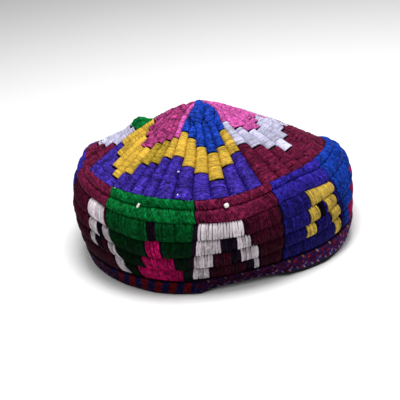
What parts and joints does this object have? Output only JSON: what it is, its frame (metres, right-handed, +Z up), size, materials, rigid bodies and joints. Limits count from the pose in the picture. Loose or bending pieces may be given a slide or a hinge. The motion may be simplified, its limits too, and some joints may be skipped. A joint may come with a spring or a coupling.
{
  "type": "embroidered tubeteika skullcap",
  "caption": "Low quilted skullcap on its rim: a shallow cone of radial cord channels over a swelling band of stacked cord rows, closed by a braid and a folded binding.",
  "frame": {"origin": "middle of the rim's outline on the surface that the cap stands on", "axes": "+Z up through the crown, -Y towards the front panel, +X to the wearer's left as the front faces the viewer"},
  "size_m": [0.1886, 0.1876, 0.0927],
  "materials": {
    "crown_floss": "satin-stitched floss over cords, indigo, maroon, yellow, white, pink and blue",
    "band_floss": "satin-stitched floss over cords, maroon, green, indigo, blue, white, yellow and pink",
    "braid": "narrow woven braid, red, navy, orange and white",
    "binding_cloth": "plain black cotton"
  },
  "bodies": {
    "root": {"crown_gore_front": "crown_floss", "crown_gore_right": "crown_floss", "crown_gore_back": "crown_floss", "crown_gore_left": "crown_floss", "band": "band_floss", "braid_trim": "braid", "edge_binding": "binding_cloth"}
  },
  "joints": []
}
